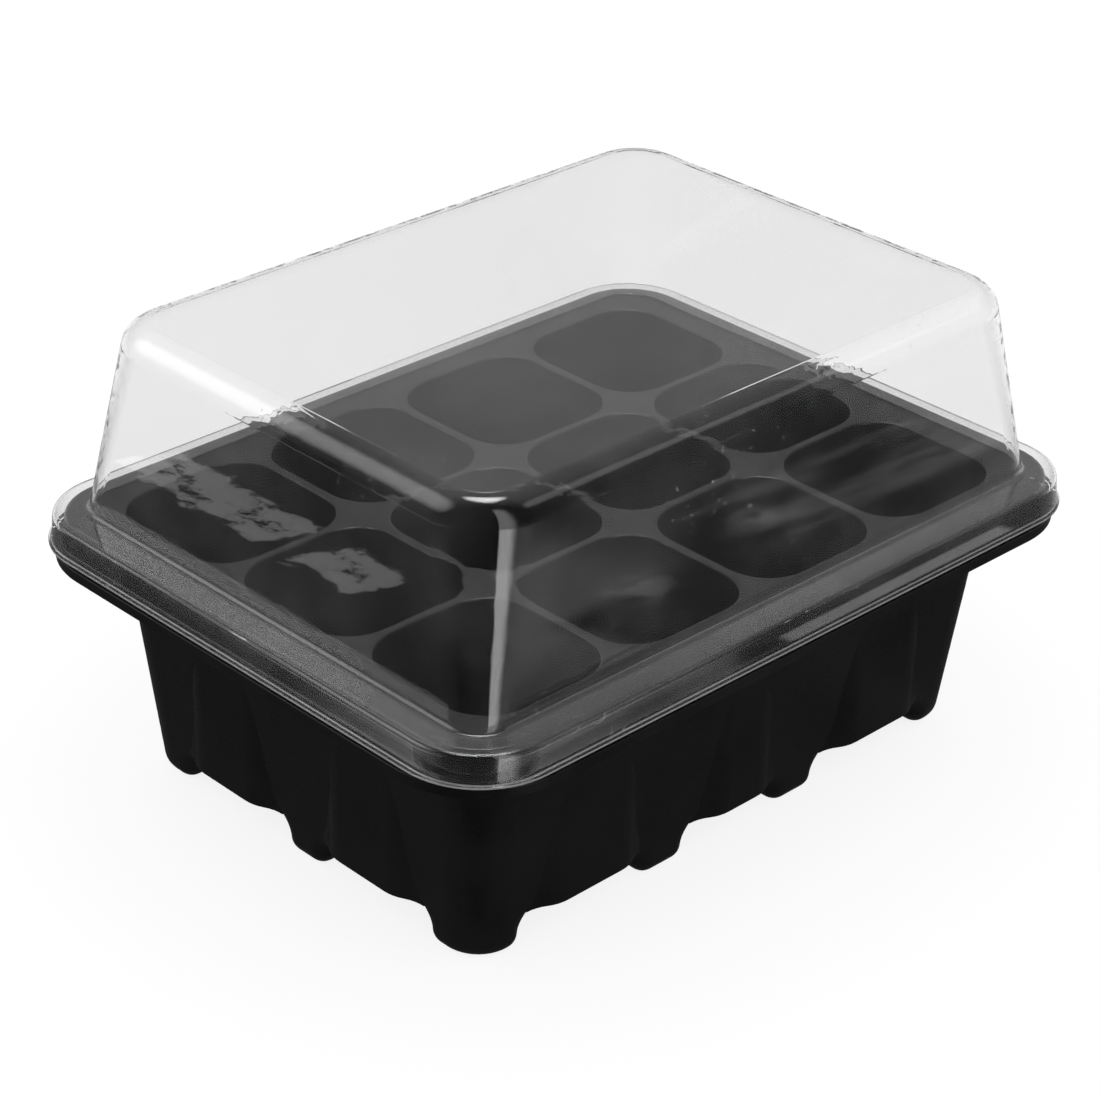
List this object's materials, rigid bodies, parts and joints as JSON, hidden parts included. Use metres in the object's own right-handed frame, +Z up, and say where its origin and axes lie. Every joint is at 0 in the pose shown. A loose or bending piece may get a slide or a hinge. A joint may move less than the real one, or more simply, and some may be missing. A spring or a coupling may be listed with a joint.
{
  "type": "humidity dome tray",
  "caption": "Small seed propagator: clear lift-off dome over a black planting-cell insert that nests in a black drip tray with small feet.",
  "frame": {"origin": "on the ground under the centre of the tray, level with the underside of the feet", "axes": "+Z up, +X along the long side of the tray, +Y along the short side"},
  "size_m": [0.18, 0.14, 0.103],
  "materials": {
    "black_base": "semi-gloss thermoformed black sheet",
    "black_insert": "semi-gloss thermoformed black sheet",
    "clear_dome": "clear thermoformed plastic sheet, glossy, faint haze"
  },
  "bodies": {
    "base": {"base_tray": "black_base"},
    "insert": {"cell_tray": "black_insert"},
    "cover": {"dome": "clear_dome"}
  },
  "joints": [
    {"name": "insert_lift", "type": "slide", "parent": "base", "child": "insert", "axis": [0, 0, 1], "range_m": [0, 0.07]},
    {"name": "dome_lift", "type": "slide", "parent": "insert", "child": "cover", "axis": [0, 0, 1], "range_m": [0, 0.12]}
  ]
}
